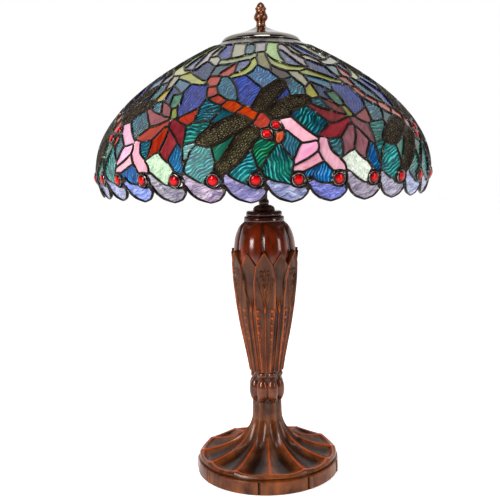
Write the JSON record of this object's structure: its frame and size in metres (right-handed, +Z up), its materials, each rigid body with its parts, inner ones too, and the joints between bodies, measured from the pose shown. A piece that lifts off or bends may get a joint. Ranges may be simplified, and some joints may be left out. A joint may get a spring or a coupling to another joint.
{
  "type": "table lamp",
  "caption": "Table lamp with a leaded glass dome shade on a fluted, leaf-moulded foot and stem, and a two-holder cluster inside.",
  "frame": {"origin": "centre of the felt that the lamp stands on", "axes": "+Z up along the lamp's axis, -Y towards the front, +X to the right; the two lampholders point along +X and -X"},
  "size_m": [0.4632, 0.4636, 0.6565],
  "materials": {
    "felt": "matt green felt",
    "zinc_steel": "zinc plated",
    "iron_weight": "rough cast",
    "bronze_resin": "filled casting with a rubbed bronze finish",
    "bud_lacquer": "glossy mahogany lacquer",
    "bushing": "black nylon",
    "dark_brass": "dark antique brass",
    "lead_jacket": "brown insulation",
    "holder_brass": "antique brass shell",
    "screw_brass": "plain brass",
    "knob_plastic": "black phenolic",
    "bulb_cap_metal": "plain",
    "bulb_envelope": "inside frosted",
    "crown_glass": "opalescent, pale green and mauve",
    "shoulder_glass": "opalescent, blues and greens",
    "skirt_glass": "rippled, teal with pink and red flowers",
    "scallop_glass": "streaky lilac",
    "ruby_glass": "polished cabochon",
    "lead_came": "solder with a dark patina",
    "polished_cap": "polished dark bronze",
    "copper_finial": "copper bronze"
  },
  "bodies": {
    "root": {"felt_pad": "felt", "cover_plate": "zinc_steel", "base_weight": "iron_weight", "foot_casting": "bronze_resin", "cord_bushing": "bushing", "pipe_washer": "zinc_steel", "pipe_nut": "zinc_steel", "lamp_pipe": "dark_brass", "internal_leads": "lead_jacket", "bud_collar": "bronze_resin", "leaf_vase": "bronze_resin", "bud": "bud_lacquer", "neck_plate": "dark_brass", "neck_ring": "dark_brass", "neck_cone": "dark_brass", "cluster_nut": "dark_brass", "cluster_body": "dark_brass", "socket_cap_left": "holder_brass", "socket_cap_right": "holder_brass", "socket_shell_left": "holder_brass", "socket_shell_right": "holder_brass", "screw_shell_left": "screw_brass", "screw_shell_right": "screw_brass", "riser": "dark_brass", "seat_nut": "dark_brass", "shade_seat": "dark_brass"},
    "shade": {"crown_panels": "crown_glass", "shoulder_panels": "shoulder_glass", "skirt_panels": "skirt_glass", "came_net": "lead_came", "rim_scallops": "scallop_glass", "rim_gems": "ruby_glass", "rim_gem_bezels": "lead_came", "eye_gems": "ruby_glass", "eye_gem_bezels": "lead_came", "crown_ring": "dark_brass", "crown_plate": "dark_brass", "vase_cap": "polished_cap"},
    "finial": {"finial_collar": "dark_brass", "finial": "copper_finial"},
    "knob_left": {"switch_knob_left": "knob_plastic"},
    "knob_right": {"switch_knob_right": "knob_plastic"},
    "bulb_left": {"bulb_cap_left": "bulb_cap_metal", "bulb_glass_left": "bulb_envelope"},
    "bulb_right": {"bulb_cap_right": "bulb_cap_metal", "bulb_glass_right": "bulb_envelope"}
  },
  "joints": [
    {"name": "shade_turn", "type": "hinge", "parent": "root", "child": "shade", "pos_m": [0, 0, 0.6], "axis": [0, 0, 1], "continuous": true},
    {"name": "finial_turn", "type": "hinge", "parent": "root", "child": "finial", "pos_m": [0, 0, 0.64], "axis": [0, 0, 1], "range_deg": [0, 2160]},
    {"name": "knob_left_turn", "type": "hinge", "parent": "root", "child": "knob_left", "pos_m": [-0.046, 0, 0.44], "axis": [0, 0, 1], "continuous": true},
    {"name": "knob_right_turn", "type": "hinge", "parent": "root", "child": "knob_right", "pos_m": [0.046, 0, 0.44], "axis": [0, 0, 1], "continuous": true},
    {"name": "bulb_left_turn", "type": "hinge", "parent": "root", "child": "bulb_left", "pos_m": [-0.1, 0, 0.468], "axis": [-1, 0, 0], "range_deg": [0, 1080]},
    {"name": "bulb_right_turn", "type": "hinge", "parent": "root", "child": "bulb_right", "pos_m": [0.1, 0, 0.468], "axis": [1, 0, 0], "range_deg": [0, 1080]}
  ]
}
